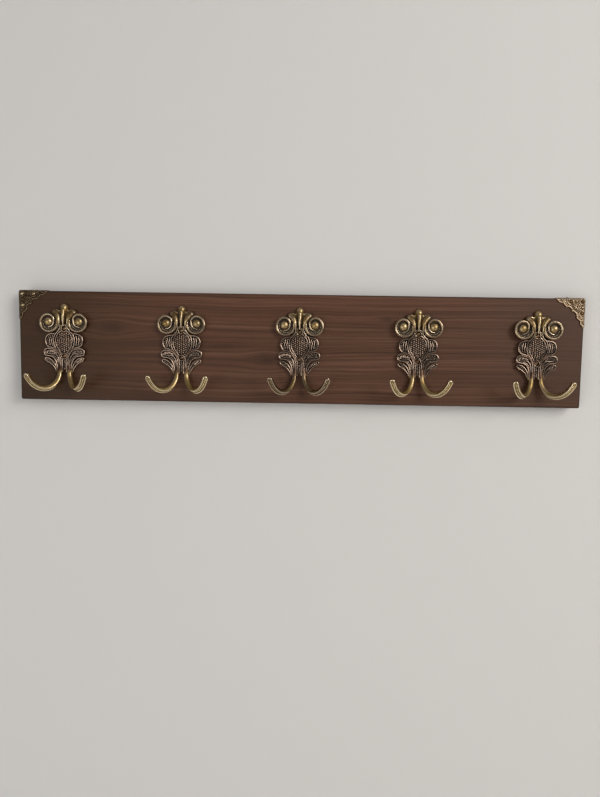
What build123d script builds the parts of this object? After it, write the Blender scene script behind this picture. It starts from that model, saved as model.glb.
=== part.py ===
from build123d import *
import math
import os

# A wall hook rack: a stained board with a row of cast double hooks and two stamped corner plates.
# Millimetres. The origin is the centre of the board's back face, which lies on the wall.
# +X runs along the board to the right, +Z is up, and the front faces -Y.

# Board
BOARD_LENGTH = 620.0
BOARD_HEIGHT = 120.0
BOARD_THICKNESS = 18.0
BOARD_EDGE_ROUND = 1.8

# Row of hooks
HOOK_COUNT = 5
HOOK_END_MARGIN = 51.0  # from the board's end to the middle of the end hook
HOOK_PITCH = (BOARD_LENGTH - 2 * HOOK_END_MARGIN) / (HOOK_COUNT - 1)

# Hook casting. Its own frame has x across, y up from the board's centre line, z away from the board.
PLATE_DEPTH = 3.0
RELIEF_DEPTH = 5.2
HEAD_DEPTH = 7.0
VOLUTE_CENTRE = (16.0, 25.3)
VOLUTE_RADIUS = 9.8
VOLUTE_RIM = 2.0
INNER_TURN_RADIUS = 5.9
EYE_RADIUS = 4.2
CENTRE_LOBE = ((0.0, 23.0), (0.0, 41.7), 1.5, 4.5)  # foot, tip, radius at the foot and at the tip
SIDE_LOBE = ((4.6, 24.5), (9.3, 36.6), 1.4, 3.7)
SHIELD_CENTRE_Y = 3.6
SHIELD_HALF_WIDTH = 10.6
SHIELD_HALF_HEIGHT = 14.6
SHIELD_RIM = 1.3
WING_REACH = 20.5
WING_LOW = -0.8
WING_HIGH = 12.9
WING_FLUTES = 3
FLUTE_WIDTH = 1.2
LEAF_RIM = 1.3
STEM_HALF_WIDTH = 8.3
STEM_LOW = -29.0
STEM_NOTCH_HALF_WIDTH = 1.9

# Prongs: each bends through part of a circle in an upright plane turned out from the wall
PRONG_RADIUS = 2.7
PRONG_ROOT = (4.9, -28.2, 3.1)
PRONG_BEND_RADIUS = 18.0
PRONG_BEND_ANGLE = 165.0
PRONG_TURN_OUT = 45.0
PRONG_OVERLAP = 5.0  # length of prong buried in the stem

# Hook screws: round-head wood screws in recessed seats
UPPER_SCREW_Y = 18.6
LOWER_SCREW_Y = -11.3
SEAT_RING_WIDTH = 0.8
SEAT_FLOOR = 2.6
SEAT_CLEARANCE = 0.25
SCREW_HEAD_RADIUS = 2.7
SCREW_HEAD_HEIGHT = 1.9
SCREW_SHANK_RADIUS = 1.7
SCREW_LENGTH = 16.0
SCREW_HOLE_CLEARANCE = 0.3
PILOT_CLEARANCE = 0.05
CROSS_LENGTH = 2.9
CROSS_WIDTH = 0.75
CROSS_DEPTH = 1.1

# Corner plates, stamped from thin sheet over the front, the top and the end of the board
SHEET = 0.8
LEG_LENGTH = 31.5  # along the board's edge, from the corner
FLAP_DEPTH = 10.0  # on the top and on the end, from the board's front face
FLAP_CORNER_ROUND = 3.0
# The scalloped edge in runs from a leg's tip to the diagonal: where each run ends, and how far it bows outwards
SCALLOPS = ((24.5, 5.1, 2.2), (20.8, 9.5, 0.2), (14.5, 14.5, -2.3))
NAIL_HEAD_RADIUS = 1.8
NAIL_HEAD_HEIGHT = 0.9
NAIL_SHANK_RADIUS = 0.6
NAIL_LENGTH = 9.0
NAIL_HOLE_CLEARANCE = 0.1
NAIL_INSET = 3.6  # from the board's edges to the nails beside them
NAIL_STEP = 12.6  # between the corner nail and the nails beside it
FLAP_NAIL_ALONG = 17.9  # from the board's end to the nail in the top flap
FLAP_NAIL_DEPTH = 5.2  # from the board's front face

# Keyhole hangers, let in flush with the board's back between the two outer hooks of each side
HANGER_PITCHES_OUT = 1.5  # hook pitches from the board's middle
HANGER_Z = 24.0
HANGER_HEIGHT = 50.0
HANGER_WIDTH = 16.0
HANGER_SHEET = 1.5
HANGER_FIT = 0.1
KEYHOLE_ENTRY_RADIUS = 4.5
KEYHOLE_SLOT_WIDTH = 4.6
KEYHOLE_TRAVEL = 11.0
KEYHOLE_ENTRY_DROP = 6.0  # entry hole's centre below the hanger's centre
POCKET_DEPTH = 7.5
POCKET_MARGIN = 1.0
HANGER_SCREW_SPACING = 38.0
HANGER_SCREW_HEAD_RADIUS = 2.9
HANGER_SCREW_SHANK_RADIUS = 1.5
HANGER_SCREW_LENGTH = 12.0

FRONT = Plane(origin=(0, -BOARD_THICKNESS, 0), x_dir=(1, 0, 0), z_dir=(0, -1, 0))
BACK = Plane(origin=(0, 0, 0), x_dir=(-1, 0, 0), z_dir=(0, 1, 0))  # seen from the wall, so +x is leftwards


def both_sides(shape):
    """The shape with its mirror image across the x = 0 plane."""
    return shape + mirror(shape, about=Plane.YZ)


def cylinder_up(radius, low, high):
    """A cylinder on the z axis between two heights."""
    return Pos(0, 0, low) * extrude(Circle(radius), high - low)


def above_board(shape):
    """The part of a shape in front of the hook's back face."""
    size = 300.0
    return shape & (Pos(0, 0, size / 2) * Box(size, size, size))


# ---------------------------------------------------------------- hook casting


def club(foot, tip, foot_radius, tip_radius):
    """A tapered round lobe from foot to tip that stands up to the head's full depth."""
    run_x = tip[0] - foot[0]
    run_y = tip[1] - foot[1]
    length = math.hypot(run_x, run_y)
    lean = math.degrees(math.atan2(-run_x, run_y))
    taper = Rot(-90, 0, 0) * Pos(0, 0, length / 2) * Cone(foot_radius, tip_radius, length)
    lobe = taper + Sphere(foot_radius) + Pos(0, length, 0) * Sphere(tip_radius)
    return above_board(Pos(foot[0], foot[1], HEAD_DEPTH - tip_radius) * Rot(0, 0, lean) * lobe)


def palmette():
    """Three lobes fanned out at the top, on a web that joins them to the volutes and the shield."""
    lobes = club(*CENTRE_LOBE) + both_sides(club(*SIDE_LOBE))
    foot_x = SIDE_LOBE[0][0]
    side_tip = SIDE_LOBE[1]
    centre_tip = CENTRE_LOBE[1]
    web = Polygon(
        (-side_tip[0], side_tip[1]),
        (-foot_x, SHIELD_CENTRE_Y),
        (foot_x, SHIELD_CENTRE_Y),
        side_tip,
        centre_tip,
        align=None,
    )
    return lobes + extrude(web, PLATE_DEPTH)


def volute():
    """A scroll with a raised rim, a half turn of rim inside it and a domed eye."""
    disc = extrude(Circle(VOLUTE_RADIUS), PLATE_DEPTH)
    rim = extrude(Circle(VOLUTE_RADIUS) - Circle(VOLUTE_RADIUS - VOLUTE_RIM), HEAD_DEPTH)
    rim = fillet(rim.edges().group_by(Axis.Z)[-1], 0.45 * VOLUTE_RIM)
    turn = Circle(INNER_TURN_RADIUS) - Circle(INNER_TURN_RADIUS - VOLUTE_RIM / 2)
    lower_half = Pos(0, -VOLUTE_RADIUS) * Rectangle(2 * VOLUTE_RADIUS, 2 * VOLUTE_RADIUS)
    inner_turn = extrude(turn & lower_half, RELIEF_DEPTH)
    eye = above_board(Pos(0, 0, HEAD_DEPTH - EYE_RADIUS) * Sphere(EYE_RADIUS))
    return Pos(*VOLUTE_CENTRE) * (disc + rim + inner_turn + eye)


def shield():
    """A domed oval with a raised rim, in the middle of the hook."""
    oval = Ellipse(SHIELD_HALF_WIDTH, SHIELD_HALF_HEIGHT)
    inner = Ellipse(SHIELD_HALF_WIDTH - SHIELD_RIM, SHIELD_HALF_HEIGHT - SHIELD_RIM)
    rise = RELIEF_DEPTH - PLATE_DEPTH
    dome_radius = (SHIELD_HALF_WIDTH**2 + rise**2) / (2 * rise)
    dome = extrude(inner, RELIEF_DEPTH) & (Pos(0, 0, RELIEF_DEPTH - dome_radius) * Sphere(dome_radius))
    rim = extrude(oval - inner, RELIEF_DEPTH)
    return Pos(0, SHIELD_CENTRE_Y) * (extrude(oval, PLATE_DEPTH) + rim + dome)


def wing():
    """A fluted panel beside the shield."""
    height = WING_HIGH - WING_LOW
    middle_y = (WING_HIGH + WING_LOW) / 2
    panel = Pos(WING_REACH / 2, middle_y) * RectangleRounded(WING_REACH, height, height / 5)
    solid = extrude(panel, (PLATE_DEPTH + RELIEF_DEPTH) / 2)
    step = (WING_REACH - SHIELD_HALF_WIDTH) / (WING_FLUTES + 1)
    for index in range(WING_FLUTES):
        x = SHIELD_HALF_WIDTH + step * (index + 1)
        groove = Box(FLUTE_WIDTH, height - 4 * FLUTE_WIDTH, FLUTE_WIDTH)
        solid -= Pos(x, middle_y, (PLATE_DEPTH + RELIEF_DEPTH) / 2) * groove
    return solid


def rimmed_leaf(outer_foot, outer_bend, back, end, front, inner_bend, inner_foot):
    """A curling leaf with a raised rim: one arc up its outer side, one round its end, one back down."""
    edges = ThreePointArc(outer_foot, outer_bend, back) + ThreePointArc(back, end, front)
    edges += ThreePointArc(front, inner_bend, inner_foot) + Line(inner_foot, outer_foot)
    outline = make_face(edges)
    recess = offset(outline, -LEAF_RIM)
    return extrude(outline, RELIEF_DEPTH) - Pos(0, 0, PLATE_DEPTH) * extrude(recess, RELIEF_DEPTH)


def upper_leaf():
    """The broad leaf that curls out under the shield."""
    return rimmed_leaf(
        (4.3, -22), (7.2, -8.6), (16.5, -3), (22.3, -6.8), (18.5, -10.4), (11.3, -12.9), (7.6, -22)
    )


def lower_leaf():
    """The narrow leaf that curls out below the broad one."""
    return rimmed_leaf(
        (6.8, -25), (11, -17.3), (19, -13), (21.2, -14.8), (19.5, -16.8), (13.6, -19.6), (9.6, -25.5)
    )


def stem():
    """The waist that carries the prongs, notched between them."""
    neck = Polygon(
        (-SHIELD_HALF_WIDTH / 2, SHIELD_CENTRE_Y - SHIELD_HALF_HEIGHT / 2),
        (-STEM_HALF_WIDTH, STEM_LOW + PRONG_OVERLAP),
        (-STEM_HALF_WIDTH, STEM_LOW),
        (-STEM_NOTCH_HALF_WIDTH, STEM_LOW),
        (0, STEM_LOW + PRONG_OVERLAP),
        (STEM_NOTCH_HALF_WIDTH, STEM_LOW),
        (STEM_HALF_WIDTH, STEM_LOW),
        (STEM_HALF_WIDTH, STEM_LOW + PRONG_OVERLAP),
        (SHIELD_HALF_WIDTH / 2, SHIELD_CENTRE_Y - SHIELD_HALF_HEIGHT / 2),
        align=None,
    )
    return extrude(neck, RELIEF_DEPTH)


def prong():
    """One round prong: out of the stem, down, and up again to a rounded tip."""
    turn = math.radians(PRONG_TURN_OUT)
    outward = Vector(math.cos(turn), 0, math.sin(turn))
    root = Vector(*PRONG_ROOT)
    centre = root + outward * PRONG_BEND_RADIUS

    def on_bend(angle):
        bend = math.radians(angle)
        return centre - outward * (PRONG_BEND_RADIUS * math.cos(bend)) - Vector(
            0, PRONG_BEND_RADIUS * math.sin(bend), 0
        )

    tip = on_bend(PRONG_BEND_ANGLE)
    path = Line(root + Vector(0, PRONG_OVERLAP, 0), root) + ThreePointArc(
        root, on_bend(PRONG_BEND_ANGLE / 2), tip
    )
    section = Plane(origin=path @ 0, z_dir=path % 0) * Circle(PRONG_RADIUS)
    return sweep(section, path) + Pos(tip) * Sphere(PRONG_RADIUS)


def screw_ring(y):
    """The raised ring round a screw seat."""
    ring_radius = SCREW_HEAD_RADIUS + SEAT_CLEARANCE + SEAT_RING_WIDTH
    return Pos(0, y) * extrude(Circle(ring_radius), RELIEF_DEPTH)


def screw_seat(y):
    """The recess and the through hole for one screw."""
    recess = cylinder_up(SCREW_HEAD_RADIUS + SEAT_CLEARANCE, SEAT_FLOOR, 2 * HEAD_DEPTH)
    hole = cylinder_up(SCREW_SHANK_RADIUS + SCREW_HOLE_CLEARANCE, -1, SEAT_FLOOR + 1)
    return Pos(0, y) * (recess + hole)


def hook():
    """The whole casting, in its own frame."""
    body = stem() + shield()
    for half in (wing(), volute(), upper_leaf(), lower_leaf(), prong()):
        body += both_sides(half)
    body += palmette()
    for y in (UPPER_SCREW_Y, LOWER_SCREW_Y):
        body = body + screw_ring(y) - screw_seat(y)
    return body


# ---------------------------------------------------------------- fasteners
# Each stands on the z = 0 plane of its own frame, with its shank below.


def domed_head(radius, height):
    """A spherical cap."""
    dome_radius = (radius**2 + height**2) / (2 * height)
    return above_board(Pos(0, 0, height - dome_radius) * Sphere(dome_radius))


def pointed_shank(radius, length):
    """A plain round shank with a conical point."""
    point = 2 * radius
    straight = cylinder_up(radius, point - length, 0)
    return straight + Pos(0, 0, point / 2 - length) * Cone(0, radius, point)


def cross_recess(top):
    """The cross-shaped driver recess below the top of a head."""
    bar = Box(CROSS_LENGTH, CROSS_WIDTH, 2 * CROSS_DEPTH)
    return Pos(0, 0, top) * (bar + Rot(0, 0, 90) * bar)


def hook_screw():
    """Round-head wood screw."""
    head = domed_head(SCREW_HEAD_RADIUS, SCREW_HEAD_HEIGHT)
    shank = pointed_shank(SCREW_SHANK_RADIUS, SCREW_LENGTH)
    return head + shank - Rot(0, 0, 20) * cross_recess(SCREW_HEAD_HEIGHT)


def hanger_screw():
    """Flat countersunk wood screw, its head level with z = 0."""
    sink = HANGER_SCREW_HEAD_RADIUS - HANGER_SCREW_SHANK_RADIUS
    head = Pos(0, 0, -sink / 2) * Cone(HANGER_SCREW_SHANK_RADIUS, HANGER_SCREW_HEAD_RADIUS, sink)
    shank = pointed_shank(HANGER_SCREW_SHANK_RADIUS, HANGER_SCREW_LENGTH)
    return head + shank - cross_recess(0)


def nail():
    """Small round-head nail."""
    return domed_head(NAIL_HEAD_RADIUS, NAIL_HEAD_HEIGHT) + pointed_shank(NAIL_SHANK_RADIUS, NAIL_LENGTH)


# ---------------------------------------------------------------- corner plates and board


def board_block(grow=0.0):
    """The board without holes, or a block that much larger all round."""
    size = (BOARD_LENGTH + 2 * grow, BOARD_THICKNESS + 2 * grow, BOARD_HEIGHT + 2 * grow)
    block = Box(*size)
    return Pos(0, -BOARD_THICKNESS / 2, 0) * fillet(block.edges(), BOARD_EDGE_ROUND + grow)


def scalloped_outline():
    """The corner plate's front face as a flat shape, its corner at the origin, legs along +x and +y."""
    corner = -2 * SHEET
    leg_tip = (LEG_LENGTH, 0.0)
    cusps = [leg_tip, *((x, y) for x, y, _ in SCALLOPS)]
    cusps += [(y, x) for x, y in reversed(cusps[:-1])]
    bows = [bow for _, _, bow in SCALLOPS]
    bows += reversed(bows)
    edges = Polyline(
        (0, LEG_LENGTH), (corner, LEG_LENGTH), (corner, corner), (LEG_LENGTH, corner), leg_tip
    )
    for start, end, bow in zip(cusps, cusps[1:], bows):
        length = math.hypot(end[0] - start[0], end[1] - start[1])
        middle_x = (start[0] + end[0]) / 2 + (end[1] - start[1]) / length * bow
        middle_y = (start[1] + end[1]) / 2 - (end[0] - start[0]) / length * bow
        edges += ThreePointArc(start, (middle_x, middle_y), end)
    return make_face(edges)


def right_corner():
    """The board's upper right front corner: x inwards along the top edge, y down, z off the front."""
    return Plane(
        origin=(BOARD_LENGTH / 2, -BOARD_THICKNESS, BOARD_HEIGHT / 2), x_dir=(-1, 0, 0), z_dir=(0, -1, 0)
    )


def nail_places():
    """Where the nails of the right corner plate stand, by name, as frames with z out of the sheet."""
    x = BOARD_LENGTH / 2 - NAIL_INSET
    z = BOARD_HEIGHT / 2 - NAIL_INSET
    face_y = -BOARD_THICKNESS - SHEET
    top_x = BOARD_LENGTH / 2 - FLAP_NAIL_ALONG
    top_y = FLAP_NAIL_DEPTH - BOARD_THICKNESS
    top_z = BOARD_HEIGHT / 2 + SHEET
    return {
        "corner": Plane(origin=(x, face_y, z), z_dir=(0, -1, 0)),
        "inner": Plane(origin=(x - NAIL_STEP, face_y, z), z_dir=(0, -1, 0)),
        "lower": Plane(origin=(x, face_y, z - NAIL_STEP), z_dir=(0, -1, 0)),
        "top": Plane(origin=(top_x, top_y, top_z), z_dir=(0, 0, 1)),
    }


def end_flap_hole():
    """The frame of the unused nail hole in the flap on the board's end."""
    x = BOARD_LENGTH / 2 + SHEET
    y = FLAP_NAIL_DEPTH - BOARD_THICKNESS
    z = BOARD_HEIGHT / 2 - FLAP_NAIL_ALONG
    return Plane(origin=(x, y, z), z_dir=(1, 0, 0))


def corner_plate():
    """The right corner plate: sheet folded over the front, the top and the end of the board."""
    shell = board_block(SHEET) - board_block()
    wrap = BOARD_EDGE_ROUND + SHEET
    front = Pos(0, 0, -BOARD_EDGE_ROUND) * extrude(scalloped_outline(), 2 * SHEET + BOARD_EDGE_ROUND)
    reach = LEG_LENGTH + 2 * SHEET
    flap = Pos(reach / 2 - 2 * SHEET, 0, 0) * Box(reach, 2 * wrap, FLAP_DEPTH + 2 * SHEET)
    back_edge = flap.edges().filter_by(Axis.Y).group_by(Axis.X)[-1].sort_by(Axis.Z)[0]
    top_flap = Pos(0, 0, SHEET - FLAP_DEPTH / 2) * fillet(back_edge, FLAP_CORNER_ROUND)
    end_flap = mirror(top_flap, about=Plane(origin=(0, 0, 0), z_dir=(1, -1, 0)))
    plate = shell & (right_corner().location * (front + top_flap + end_flap))
    hole = cylinder_up(NAIL_SHANK_RADIUS + NAIL_HOLE_CLEARANCE, -2 * SHEET, SHEET)
    for place in [*nail_places().values(), end_flap_hole()]:
        plate -= place.location * hole
    return plate


def hanger_places():
    """The frames of the left and the right hanger's centre, on the board's back, z out of the wood."""
    x = HANGER_PITCHES_OUT * HOOK_PITCH
    return {
        "left": BACK.location * Pos(x, HANGER_Z, 0),
        "right": BACK.location * Pos(-x, HANGER_Z, 0),
    }


def hanger_screw_places():
    """The two screws of a hanger in the hanger's frame, by name."""
    half = HANGER_SCREW_SPACING / 2
    return {"upper": Pos(0, half, 0), "lower": Pos(0, -half, 0)}


def keyhole(radius, slot_width):
    """A keyhole shape: round entry below, slot with a round end above."""
    entry = Pos(0, -KEYHOLE_ENTRY_DROP) * Circle(radius)
    middle_y = KEYHOLE_TRAVEL / 2 - KEYHOLE_ENTRY_DROP
    slot = Pos(0, middle_y) * SlotOverall(KEYHOLE_TRAVEL + slot_width, slot_width, rotation=90)
    return entry + slot


def hanger():
    """A steel keyhole plate with two countersunk screw holes, its outer face at z = 0."""
    strip = Pos(0, 0, -HANGER_SHEET) * extrude(
        SlotOverall(HANGER_HEIGHT, HANGER_WIDTH, rotation=90), HANGER_SHEET
    )
    strip -= Pos(0, 0, -2 * HANGER_SHEET) * extrude(
        keyhole(KEYHOLE_ENTRY_RADIUS, KEYHOLE_SLOT_WIDTH), 3 * HANGER_SHEET
    )
    sink = HANGER_SCREW_HEAD_RADIUS - HANGER_SCREW_SHANK_RADIUS
    grown = HANGER_SCREW_SHANK_RADIUS + PILOT_CLEARANCE
    cone = Pos(0, 0, -sink / 2) * Cone(grown, HANGER_SCREW_HEAD_RADIUS + PILOT_CLEARANCE, sink)
    hole = cone + cylinder_up(grown, -2 * HANGER_SHEET, 0)
    for place in hanger_screw_places().values():
        strip -= place * hole
    return strip


def hanger_pocket():
    """The shallow recess for the hanger and the deep one behind its keyhole, below z = 0."""
    fit = 2 * HANGER_FIT
    shallow = extrude(SlotOverall(HANGER_HEIGHT + fit, HANGER_WIDTH + fit, rotation=90), -HANGER_SHEET)
    grown = KEYHOLE_ENTRY_RADIUS + POCKET_MARGIN
    deep = extrude(keyhole(grown, 2 * grown), -POCKET_DEPTH)
    return shallow + deep


def board(hook_xs):
    """The board with every pocket and pilot hole."""
    wood = board_block()
    pilot = pointed_shank(
        SCREW_SHANK_RADIUS + PILOT_CLEARANCE, SCREW_LENGTH - SEAT_FLOOR + PILOT_CLEARANCE
    )
    for x in hook_xs:
        for y in (UPPER_SCREW_Y, LOWER_SCREW_Y):
            wood -= FRONT.location * Pos(x, y, 0) * pilot
    nail_hole = Pos(0, 0, -PILOT_CLEARANCE) * pointed_shank(
        NAIL_SHANK_RADIUS + PILOT_CLEARANCE, NAIL_LENGTH
    )
    for place in nail_places().values():
        hole = place.location * nail_hole
        wood = wood - hole - mirror(hole, about=Plane.YZ)
    hanger_hole = Pos(0, 0, -PILOT_CLEARANCE) * pointed_shank(
        HANGER_SCREW_SHANK_RADIUS + PILOT_CLEARANCE, HANGER_SCREW_LENGTH
    )
    for hanger_place in hanger_places().values():
        wood -= hanger_place * hanger_pocket()
        for screw_place in hanger_screw_places().values():
            wood -= hanger_place * screw_place * hanger_hole
    return wood


def make_parts():
    """Every piece of the rack in its place, by node name."""
    hook_xs = [(index - (HOOK_COUNT - 1) / 2) * HOOK_PITCH for index in range(HOOK_COUNT)]
    parts = {"board": board(hook_xs)}
    casting = hook()
    screw = hook_screw()
    for number, x in enumerate(hook_xs, start=1):
        parts[f"hook_{number}"] = FRONT.location * Pos(x, 0, 0) * casting
        for name, y in (("upper", UPPER_SCREW_Y), ("lower", LOWER_SCREW_Y)):
            parts[f"hook_{number}_{name}_screw"] = FRONT.location * Pos(x, y, SEAT_FLOOR) * screw

    plate = corner_plate()
    parts["right_corner_plate"] = plate
    parts["left_corner_plate"] = mirror(plate, about=Plane.YZ)
    for name, place in nail_places().items():
        fixed = place.location * nail()
        parts[f"right_plate_{name}_nail"] = fixed
        parts[f"left_plate_{name}_nail"] = mirror(fixed, about=Plane.YZ)

    for side, place in hanger_places().items():
        parts[f"{side}_keyhole_hanger"] = place * hanger()
        for name, screw_place in hanger_screw_places().items():
            parts[f"{side}_hanger_{name}_screw"] = place * screw_place * hanger_screw()
    return parts


os.makedirs("parts", exist_ok=True)
for node, shape in make_parts().items():
    export_step(shape, f"parts/{node}.step")
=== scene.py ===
"""Wall hook rack: the looks of the board, the cast hooks, the corner plates and the fasteners.

The hooks and the corner plates are sculpted as distance fields in millimetres and turned into meshes.
Everything else is the CAD model's own mesh with a detailed material.
"""
import math

import bpy
import numpy as np
import openvdb
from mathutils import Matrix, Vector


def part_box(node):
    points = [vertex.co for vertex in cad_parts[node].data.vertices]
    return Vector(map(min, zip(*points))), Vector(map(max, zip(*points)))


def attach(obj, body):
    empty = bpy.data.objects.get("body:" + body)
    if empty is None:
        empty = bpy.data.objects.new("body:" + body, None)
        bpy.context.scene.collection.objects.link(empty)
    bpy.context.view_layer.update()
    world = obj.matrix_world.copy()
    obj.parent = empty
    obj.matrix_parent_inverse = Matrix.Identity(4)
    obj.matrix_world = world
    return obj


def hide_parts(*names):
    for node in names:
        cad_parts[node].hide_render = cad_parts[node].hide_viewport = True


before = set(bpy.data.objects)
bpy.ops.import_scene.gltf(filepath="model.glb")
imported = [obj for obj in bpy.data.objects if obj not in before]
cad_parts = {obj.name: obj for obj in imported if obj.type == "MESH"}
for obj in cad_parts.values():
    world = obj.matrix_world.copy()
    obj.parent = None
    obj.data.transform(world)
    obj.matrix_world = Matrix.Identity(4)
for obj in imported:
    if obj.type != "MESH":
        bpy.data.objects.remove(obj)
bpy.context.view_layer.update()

MM = 0.001
SIDES = ("left", "right")
HOOKS = [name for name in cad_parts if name.startswith("hook_") and not name.endswith("screw")]
SCREWS = [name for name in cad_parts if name.startswith("hook_") and name.endswith("screw")]
BOARD_LOW, BOARD_HIGH = (np.array(corner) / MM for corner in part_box("board"))
FRONT_Y = BOARD_LOW[1]
RIDGE_REACH = 0.8  # how far round a point the metal is looked at, for wear and for dirt
RECESS_REACH = 2.2

# ---------------------------------------------------------------- distance fields

EMPTY = 4.0  # the field's value far from any shape


def smooth_min(a, b, blend):
    """The lesser of two fields, with the crease between them rounded over a width."""
    near = np.maximum(blend - np.abs(a - b), 0) / blend
    return np.minimum(a, b) - near * near * blend / 4


def rise(value, low, high):
    """0 below one value, 1 above another, and smooth between them."""
    t = np.clip((value - low) / (high - low), 0, 1)
    return t * t * (3 - 2 * t)


def smooth_path(points, per_span=7):
    """A rounded line through given points."""
    p = np.array(points, float)
    p = np.vstack([2 * p[0] - p[1], p, 2 * p[-1] - p[-2]])
    t = np.linspace(0, 1, per_span, endpoint=False)[:, None]
    spans = []
    for a, b, c, d in zip(p, p[1:], p[2:], p[3:]):
        square = (2 * a - 5 * b + 4 * c - d) * t**2
        cube = (3 * b - a - 3 * c + d) * t**3
        spans.append((2 * b + (c - a) * t + square + cube) / 2)
    return np.vstack([*spans, p[-2:-1]])


def nearest(path, x, y):
    """The distance from each point to a path, and how far along it the nearest place lies, from 0 to 1."""
    steps = np.diff(path, axis=0)
    lengths = np.hypot(steps[:, 0], steps[:, 1])
    begins = np.concatenate([[0], np.cumsum(lengths)])
    best = np.full(np.broadcast(x, y).shape, 1e9, np.float32)
    along = np.zeros_like(best)
    for (px, py), (dx, dy), length, begin in zip(path, steps, lengths, begins):
        t = np.clip(((x - px) * dx + (y - py) * dy) / length**2, 0, 1)
        distance = np.hypot(x - px - t * dx, y - py - t * dy)
        closer = distance < best
        best = np.where(closer, distance, best)
        along = np.where(closer, begin + t * length, along)
    return best, along / begins[-1]


def region(points, x, y, per_span=4):
    """The signed distance to a closed outline through given points, negative inside."""
    path = smooth_path(points, per_span)
    path = np.vstack([path, path[:1]])
    distance, _ = nearest(path, x, y)
    inside = np.zeros(distance.shape, bool)
    for (ax, ay), (bx, by) in zip(path, path[1:]):
        if ay == by:
            continue
        crosses = (ay > y) != (by > y)
        inside ^= crosses & (x < (bx - ax) * (y - ay) / (by - ay) + ax)
    return np.where(inside, -distance, distance)


def spread(value, along):
    """A value that changes evenly along a path, from a single number or a list of them."""
    values = np.atleast_1d(value)
    return np.interp(along, np.linspace(0, 1, len(values)), values).astype(np.float32)


class Sculpture:
    """A field on a box of samples, in millimetres, that shapes are joined to and carved from.

    Only the samples with z below layers_high are worked on by the shapes drawn on the ground.
    """

    def __init__(self, low, high, step, layers_high):
        self.low = np.array(low, float)
        self.step = step
        axes = [np.arange(a, b + step / 2, step, dtype=np.float32) for a, b in zip(low, high)]
        self.x = axes[0][:, None, None]
        self.y = axes[1][None, :, None]
        self.z = axes[2][None, None, axes[2] < layers_high]
        self.all_z = axes[2][None, None, :]
        self.field = np.full([len(axis) for axis in axes], EMPTY, np.float32)

    def join(self, shape, blend=0.4):
        """Adds a shape that fills the first layers of z."""
        layers = shape.shape[2]
        self.field[:, :, :layers] = smooth_min(self.field[:, :, :layers], shape, blend)

    def carve(self, shape, blend=0.3):
        """Cuts a shape away."""
        layers = shape.shape[2]
        self.field[:, :, :layers] = -smooth_min(-self.field[:, :, :layers], shape, blend)

    def cord(self, points, radius, top, blend=0.4):
        """A line through points, drawn as a wall with a round top."""
        distance, along = nearest(smooth_path(points), self.x, self.y)
        radius = spread(radius, along)
        top = spread(top, along)
        self.join(np.hypot(distance, np.maximum(self.z - (top - radius), 0)) - radius, blend)

    def petal(self, points, width, top, blend=0.4):
        """A line through points, drawn as a broad swelling that falls to the ground at its sides."""
        distance, along = nearest(smooth_path(points), self.x, self.y)
        width = spread(width, along)
        top = spread(top, along)
        size = np.hypot(distance / width, self.z / top)
        self.join((size - 1) * np.minimum(width, top), blend)

    def floor(self, points, top, edge=0.6, blend=0.4):
        """A flat or gently curved floor inside an outline."""
        signed = region(points, self.x, self.y)
        self.join(-smooth_min(-signed, top - self.z, edge), blend)

    def beads(self, centres, radius, centre_z, blend=0.15):
        """Small balls sunk in the surface."""
        distance = np.full(np.broadcast(self.x, self.y).shape, 1e9, np.float32)
        for cx, cy in centres:
            distance = np.minimum(distance, np.hypot(self.x - cx, self.y - cy))
        self.join(np.hypot(distance, self.z - centre_z) - radius, blend)


def blurred(values, reach):
    """Values averaged over a cube that reaches some samples each way."""
    width = 2 * reach + 1
    for axis in range(3):
        margins = [(0, 0), (0, 0), (0, 0)]
        margins[axis] = (reach + 1, reach)
        total = np.cumsum(np.pad(values, margins, "edge"), axis)
        upper = np.take(total, range(width, total.shape[axis]), axis)
        lower = np.take(total, range(0, total.shape[axis] - width), axis)
        values = (upper - lower) / width
    return values


def sampled(values, points):
    """Values read between their samples, at points counted in samples."""
    points = np.clip(points, 0, np.array(values.shape) - 1.001)
    base = points.astype(int)
    part = points - base
    result = np.zeros(len(points))
    for corner in np.ndindex(2, 2, 2):
        weight = np.prod(np.where(corner, part, 1 - part), axis=1)
        result += weight * values[tuple((base + corner).T)]
    return result


def vertex_coords(mesh):
    """The places of a mesh's vertices."""
    coords = np.empty(3 * len(mesh.vertices))
    mesh.vertices.foreach_get("co", coords)
    return coords.reshape(-1, 3)


def store(mesh, name, values):
    """Keeps a number at each vertex, for the material to read."""
    mesh.attributes.new(name, "FLOAT", "POINT").data.foreach_set("value", values.astype(np.float32))


def crowding(field, step, reach_mm, points):
    """How much metal there is round each point: half on a flat face, less on a ridge, more in a hollow."""
    metal = np.clip(0.5 - field / step, 0, 1)
    return sampled(blurred(metal, round(reach_mm / step)), points)


def thinned(mesh, share):
    """A copy of a mesh with a share of its faces, most of them kept where it curves. The mesh is removed."""
    name = mesh.name
    holder = bpy.data.objects.new(name, mesh)
    bpy.context.scene.collection.objects.link(holder)
    holder.modifiers.new("thin", "DECIMATE").ratio = share
    copy = bpy.data.meshes.new_from_object(holder.evaluated_get(bpy.context.evaluated_depsgraph_get()))
    bpy.data.objects.remove(holder)
    bpy.data.meshes.remove(mesh)
    copy.name = name
    return copy


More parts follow.
